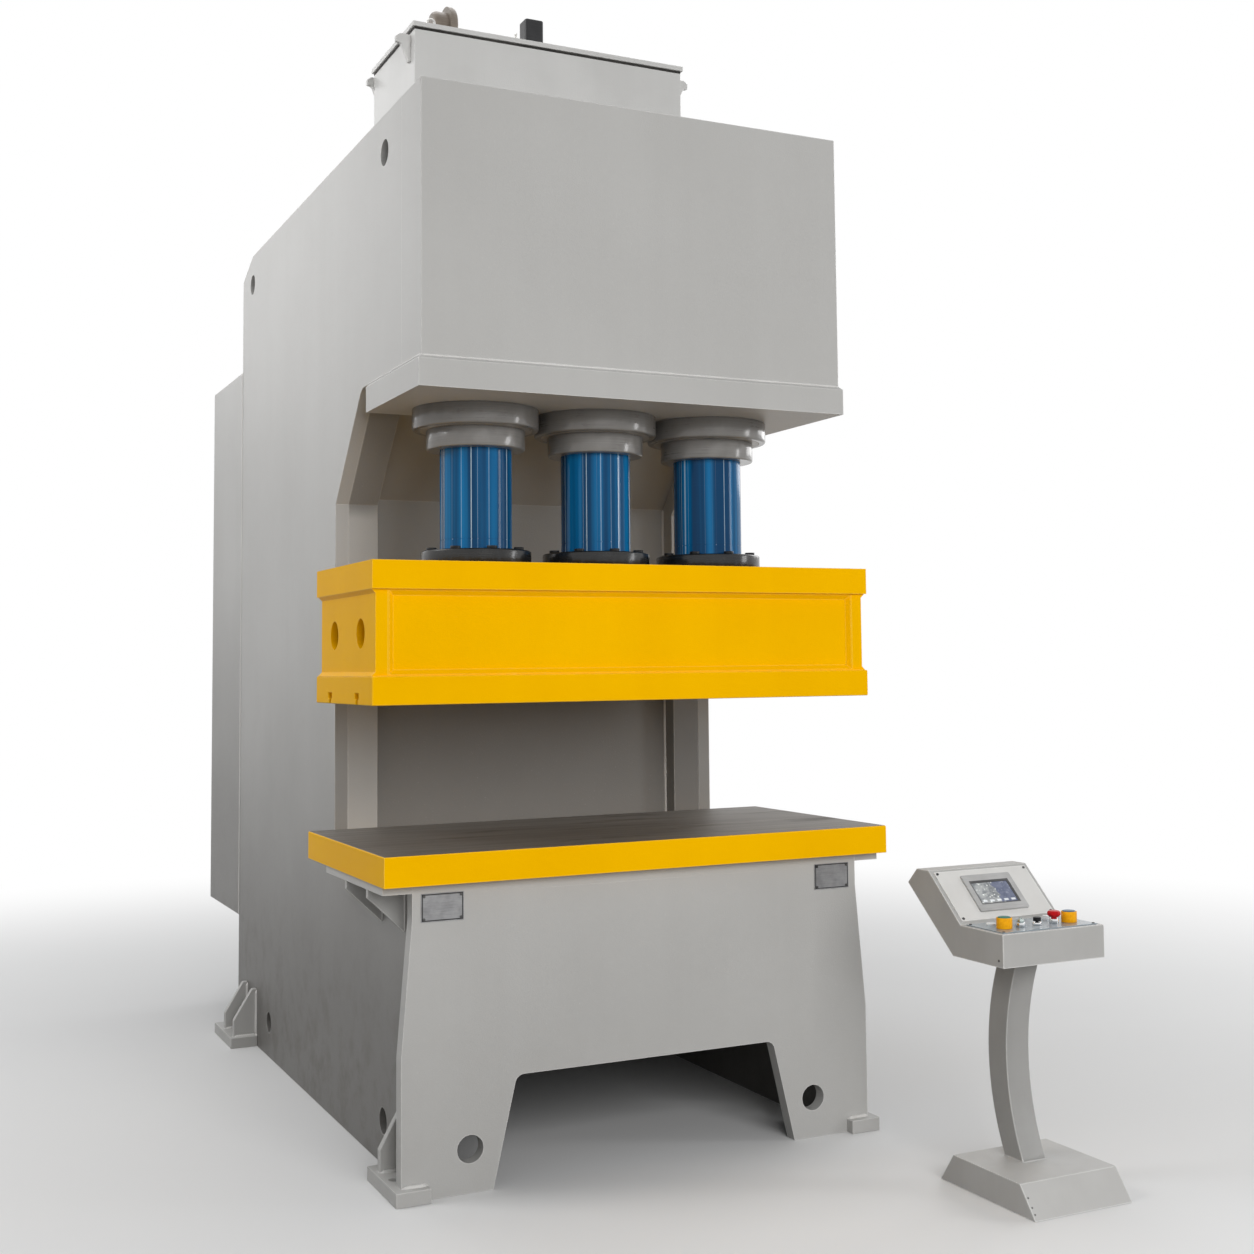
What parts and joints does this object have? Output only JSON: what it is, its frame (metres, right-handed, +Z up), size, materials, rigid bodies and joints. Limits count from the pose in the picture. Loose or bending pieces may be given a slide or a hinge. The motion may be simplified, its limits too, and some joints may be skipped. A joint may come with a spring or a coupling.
{
  "type": "hydraulic press",
  "caption": "C-frame hydraulic press with a row of cylinders, a yellow slide, a work table and a free-standing control pedestal.",
  "frame": {"origin": "on the floor, in the middle of the four anchor holes of the feet", "axes": "+Z up, +X to the right as seen by someone standing in front of the press, +Y from the front to the back"},
  "size_m": [2.091, 4.554, 4.326],
  "materials": {
    "frame_paint": "satin warm grey",
    "table_steel": "dark machined top, yellow painted edges",
    "slide_paint": "gloss yellow",
    "tank_paint": "satin light grey",
    "gasket_rubber": "matt",
    "seal_rubber": "matt",
    "zinc_steel": "zinc plated",
    "eye_steel": "satin",
    "filter_paint": "satin brown grey",
    "switch_plastic": "matt",
    "cylinder_paint": "gloss grey",
    "rod_coating": "high gloss deep blue",
    "machined_steel": "machined",
    "black_steel": "semi gloss",
    "nameplate_metal": "satin",
    "console_paint": "satin light grey",
    "desk_film": "satin",
    "bezel_grey": "satin",
    "screen_surface": "gloss",
    "guard_yellow": "gloss",
    "cap_green": "gloss",
    "cap_blue": "gloss",
    "cap_black": "gloss",
    "stop_red": "gloss",
    "control_chrome": "polished",
    "lamp_lens": "gloss"
  },
  "bodies": {
    "frame": {"side_plate_left": "frame_paint", "side_plate_right": "frame_paint", "head_front_casing": "frame_paint", "head_flange_plate": "frame_paint", "head_top_plate": "frame_paint", "throat_back_plate": "frame_paint", "throat_strip_left": "frame_paint", "throat_strip_right": "frame_paint", "back_plate": "frame_paint", "base_front_plate": "frame_paint", "bed_plate": "frame_paint", "table_bracket_left": "frame_paint", "table_bracket_right": "frame_paint", "front_feet": "frame_paint", "rear_feet": "frame_paint", "rear_housing": "frame_paint", "rear_cover": "frame_paint", "table_plate": "table_steel", "oil_tank": "tank_paint", "tank_lid": "tank_paint", "tank_hooks": "tank_paint", "tank_gasket": "gasket_rubber", "rod_seals": "seal_rubber", "rear_cover_screws": "zinc_steel", "tank_lid_bolts": "zinc_steel", "panel_screws": "zinc_steel", "eye_bolts": "eye_steel", "return_filter": "filter_paint", "level_switch": "switch_plastic", "cylinder_barrels": "cylinder_paint", "cylinder_rings": "cylinder_paint", "rod_glands": "cylinder_paint", "feed_pipes": "cylinder_paint", "nameplates": "nameplate_metal", "pedestal_base": "console_paint", "pedestal_column": "console_paint", "console_box": "console_paint", "screen_plate": "console_paint", "button_panel": "desk_film", "screen_bezel": "bezel_grey", "screen_glass": "screen_surface", "run_button_guards": "guard_yellow", "control_bezels": "control_chrome", "signal_lamps": "lamp_lens"},
    "slide": {"slide_top_plate": "slide_paint", "slide_bottom_plate": "slide_paint", "slide_end_plate_left": "slide_paint", "slide_end_plate_right": "slide_paint", "slide_front_web": "slide_paint", "slide_back_web": "slide_paint", "slide_ribs": "slide_paint", "piston_rods": "rod_coating", "pistons": "machined_steel", "rod_flanges": "black_steel", "rod_flange_bolts": "black_steel"},
    "run_button_left": {"run_button_left": "cap_green"},
    "run_button_right": {"run_button_right": "cap_blue"},
    "black_button": {"black_button": "cap_black"},
    "selector_knob": {"selector_knob": "cap_black"},
    "stop_button": {"stop_button": "stop_red"}
  },
  "joints": [
    {"name": "slide_travel", "type": "slide", "parent": "frame", "child": "slide", "axis": [0, 0, 1], "range_m": [-0.46, 0.34]},
    {"name": "run_left_press", "type": "slide", "parent": "frame", "child": "run_button_left", "axis": [0, 0, -1], "range_m": [0, 0.004], "stiffness_N_per_m": 600, "springref_m": -0.001},
    {"name": "run_right_press", "type": "slide", "parent": "frame", "child": "run_button_right", "axis": [0, 0, -1], "range_m": [0, 0.004], "stiffness_N_per_m": 600, "springref_m": -0.001},
    {"name": "black_press", "type": "slide", "parent": "frame", "child": "black_button", "axis": [0, 0, -1], "range_m": [0, 0.004], "stiffness_N_per_m": 600, "springref_m": -0.001},
    {"name": "selector_turn", "type": "hinge", "parent": "frame", "child": "selector_knob", "pos_m": [0.881, -2.195, 0.85], "axis": [0, 0, 1], "range_deg": [-90, 0]},
    {"name": "stop_press", "type": "slide", "parent": "frame", "child": "stop_button", "axis": [0, 0, -1], "range_m": [0, 0.005]}
  ]
}
